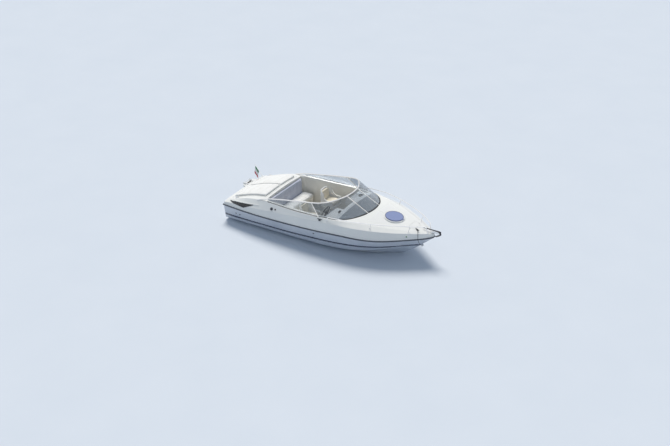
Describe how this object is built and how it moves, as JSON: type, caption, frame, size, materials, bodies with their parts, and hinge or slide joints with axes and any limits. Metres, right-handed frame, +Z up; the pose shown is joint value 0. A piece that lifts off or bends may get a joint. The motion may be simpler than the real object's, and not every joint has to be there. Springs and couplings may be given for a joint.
{
  "type": "cuddy sport boat with sterndrive",
  "caption": "Cuddy-cabin sport boat afloat, with open cockpit, wrap windshield, round deck hatch, bow rails and a steering, trimming sterndrive.",
  "frame": {"origin": "on the waterline at the centreline, amidships, 2.7 m forward of the transom", "axes": "+X to the bow, +Y to port, +Z up"},
  "size_m": [7.082, 2.3914, 2.0781],
  "materials": {
    "gelcoat_white": "gloss",
    "gelcoat_hull": "gloss",
    "rubber_dark": "matte",
    "vinyl_white": "satin",
    "vinyl_tan": "satin",
    "fabric_berth": "matte",
    "stainless": "polished",
    "galvanised": "matte",
    "dark_plastic": "matte",
    "drive_paint": "satin",
    "prop_metal": "satin",
    "frame_white": "gloss",
    "glass_smoke": "clear tint",
    "hatch_acrylic": "tinted",
    "engine_iron": "matte",
    "cloth_flag": "matte",
    "rope_dark": "matte",
    "rubber_roller": "matte"
  },
  "bodies": {
    "boat": {"hull_shell": "gelcoat_hull", "deck_moulding": "gelcoat_white", "rubrail": "rubber_dark", "cockpit_liner": "gelcoat_white", "cabin_bulkhead": "gelcoat_white", "berth_base": "gelcoat_white", "berth_cushions": "fabric_berth", "engine_block": "engine_iron", "bench_base": "gelcoat_white", "bench_cushion": "vinyl_tan", "bench_backrest": "vinyl_white", "helm_dash": "gelcoat_white", "companion_dash": "gelcoat_white", "steering_column": "dark_plastic", "dash_instruments": "dark_plastic", "throttle_control": "dark_plastic", "companion_seat_pedestal": "stainless", "helm_seat_pedestal": "stainless", "windshield_frame": "frame_white", "windshield_gasket": "rubber_dark", "glass_sides": "glass_smoke", "glass_corners": "glass_smoke", "glass_centre": "glass_smoke", "deck_hatch_frame": "gelcoat_white", "bow_rail_port": "stainless", "bow_rail_starboard": "stainless", "bow_roller": "stainless", "anchor": "galvanised", "bow_cleat": "galvanised", "midship_cleats": "stainless", "stern_cleats": "stainless", "bow_eye": "stainless", "stern_eyes": "stainless", "air_intakes": "dark_plastic", "fuel_filler": "stainless", "swim_step": "gelcoat_white", "flagstaff": "stainless", "flag": "cloth_flag", "transom_shield": "drive_paint", "mooring_line": "rope_dark"},
    "engine_lid": {"engine_hatch": "gelcoat_white", "sunpad": "vinyl_white"},
    "locker_lid": {"anchor_locker_lid": "gelcoat_white"},
    "cabin_door": {"companionway_door": "dark_plastic"},
    "hatch_lid": {"deck_hatch_lid": "hatch_acrylic"},
    "helm_seat": {"helm_seat_shell": "gelcoat_white", "helm_seat_cushion": "vinyl_tan"},
    "companion_seat": {"companion_seat_shell": "gelcoat_white", "companion_seat_cushion": "vinyl_tan"},
    "wheel": {"steering_wheel": "dark_plastic"},
    "ladder": {"boarding_ladder": "stainless"},
    "steering_yoke": {"gimbal_ring": "drive_paint"},
    "drive": {"drive_leg": "drive_paint"},
    "prop": {"propeller": "prop_metal"},
    "roller": {"roller_wheel": "rubber_roller"},
    "cylinder_port": {"trim_cylinder_port": "drive_paint"},
    "cylinder_starboard": {"trim_cylinder_starboard": "drive_paint"},
    "rod_port": {"trim_rod_port": "stainless"},
    "rod_starboard": {"trim_rod_starboard": "stainless"}
  },
  "joints": [
    {"name": "engine_lid_hinge", "type": "hinge", "parent": "boat", "child": "engine_lid", "pos_m": [-2.582, 0, 0.658], "axis": [0, -1, 0], "range_deg": [0, 60]},
    {"name": "locker_lid_hinge", "type": "hinge", "parent": "boat", "child": "locker_lid", "pos_m": [2.737, 0, 0.928], "axis": [0, -1, 0], "range_deg": [0, 95]},
    {"name": "cabin_door_hinge", "type": "hinge", "parent": "boat", "child": "cabin_door", "pos_m": [0.895, 0.263, 0.55], "axis": [0, 0, -1], "range_deg": [0, 90]},
    {"name": "deck_hatch_hinge", "type": "hinge", "parent": "boat", "child": "hatch_lid", "pos_m": [2.48223, 0, 0.98643], "axis": [0, 1, 0], "range_deg": [0, 80]},
    {"name": "helm_seat_swivel", "type": "hinge", "parent": "boat", "child": "helm_seat", "pos_m": [-0.14, -0.54, 0.51], "axis": [0, 0, 1], "range_deg": [-180, 180]},
    {"name": "companion_seat_swivel", "type": "hinge", "parent": "boat", "child": "companion_seat", "pos_m": [-0.14, 0.54, 0.51], "axis": [0, 0, 1], "range_deg": [-180, 180]},
    {"name": "ladder_fold", "type": "hinge", "parent": "boat", "child": "ladder", "pos_m": [-3.145, 0.68, 0.407], "axis": [0, -1, 0], "range_deg": [0, 255]},
    {"name": "drive_steer", "type": "hinge", "parent": "boat", "child": "steering_yoke", "pos_m": [-2.82, 0, 0], "axis": [0, 0, 1], "range_deg": [-30, 30]},
    {"name": "wheel_turn", "type": "hinge", "parent": "boat", "child": "wheel", "pos_m": [0.39774, -0.56, 0.89495], "axis": [-0.9272, 0, 0.3746], "range_deg": [-545, 545]},
    {"name": "drive_trim", "type": "hinge", "parent": "steering_yoke", "child": "drive", "pos_m": [-2.865, 0, -0.025], "axis": [0, 1, 0], "range_deg": [0, 40]},
    {"name": "propeller_spin", "type": "hinge", "parent": "drive", "child": "prop", "pos_m": [-3.4, 0, -0.48], "axis": [1, 0, 0], "continuous": true},
    {"name": "bow_roller_spin", "type": "hinge", "parent": "boat", "child": "roller", "pos_m": [3.555, 0, 0.896], "axis": [0, 1, 0], "continuous": true},
    {"name": "trim_cylinder_port_pivot", "type": "hinge", "parent": "steering_yoke", "child": "cylinder_port", "pos_m": [-2.84, 0.15, -0.14], "axis": [0, 1, 0], "range_deg": [-0.5, 33.64]},
    {"name": "trim_rod_port_slide", "type": "slide", "parent": "cylinder_port", "child": "rod_port", "axis": [-0.9785, 0, 0.206], "range_m": [-0.001, 0.06495]},
    {"name": "trim_cylinder_starboard_pivot", "type": "hinge", "parent": "steering_yoke", "child": "cylinder_starboard", "pos_m": [-2.84, -0.15, -0.14], "axis": [0, 1, 0], "range_deg": [-0.5, 33.64]},
    {"name": "trim_rod_starboard_slide", "type": "slide", "parent": "cylinder_starboard", "child": "rod_starboard", "axis": [-0.9785, 0, 0.206], "range_m": [-0.001, 0.06495]}
  ],
  "couplings": [
    {"joint": "wheel_turn", "follows": "drive_steer", "ratio": -18},
    {"joint": "trim_cylinder_port_pivot", "follows": "drive_trim", "ratio": 0.8284},
    {"joint": "trim_rod_port_slide", "follows": "drive_trim", "m_per_rad": 0.0916},
    {"joint": "trim_cylinder_starboard_pivot", "follows": "drive_trim", "ratio": 0.8284},
    {"joint": "trim_rod_starboard_slide", "follows": "drive_trim", "m_per_rad": 0.0916}
  ]
}
